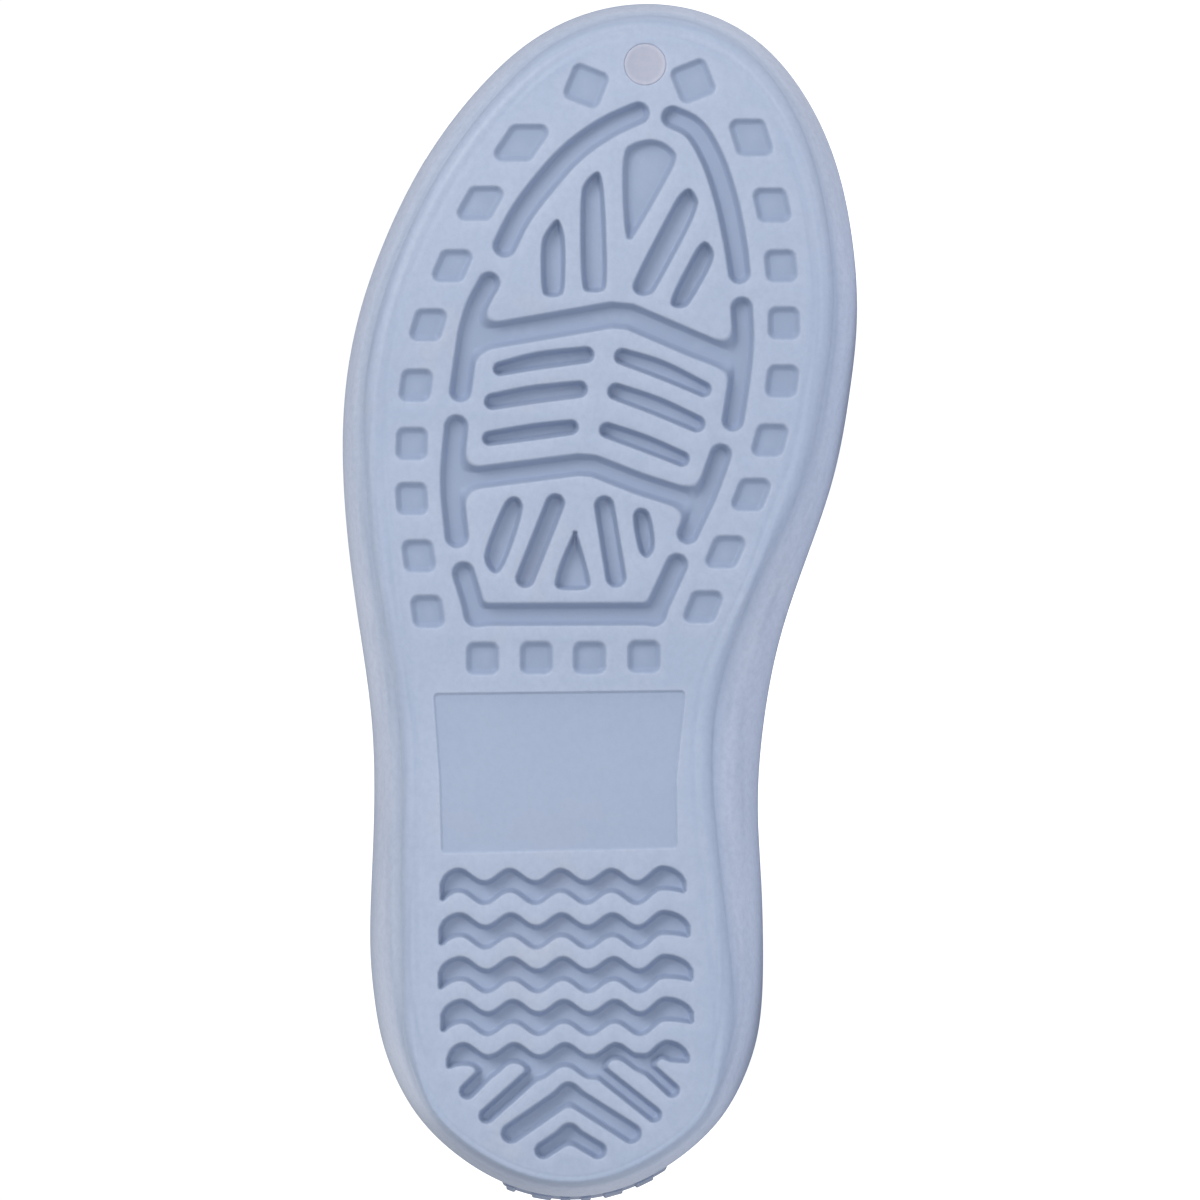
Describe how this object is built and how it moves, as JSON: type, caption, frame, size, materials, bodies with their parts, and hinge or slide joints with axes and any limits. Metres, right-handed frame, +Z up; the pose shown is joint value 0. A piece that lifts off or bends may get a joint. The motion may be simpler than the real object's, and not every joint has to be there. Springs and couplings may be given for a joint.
{
  "type": "deck boot",
  "caption": "Child's right pull-on deck boot in moulded foam, lying on its inner side, with grooved tread plate, bulging sole sidewall, plain hollow upper and heel kick pad.",
  "frame": {"origin": "middle of the lying boot's box, on the floor it lies on", "axes": "+X towards the toe, +Y towards the collar so that the tread faces -Y, +Z up from the floor towards the boot's outer side"},
  "size_m": [0.2066, 0.1264, 0.0858],
  "materials": {
    "sole_blue": "satin",
    "upper_blue": "satin",
    "insole_blue": "matte",
    "kick_blue": "satin",
    "gate_lilac": "satin"
  },
  "bodies": {
    "root": {"outsole": "sole_blue", "upper": "upper_blue", "insole": "insole_blue", "heel_kick": "kick_blue", "gate_plug": "gate_lilac"}
  },
  "joints": []
}
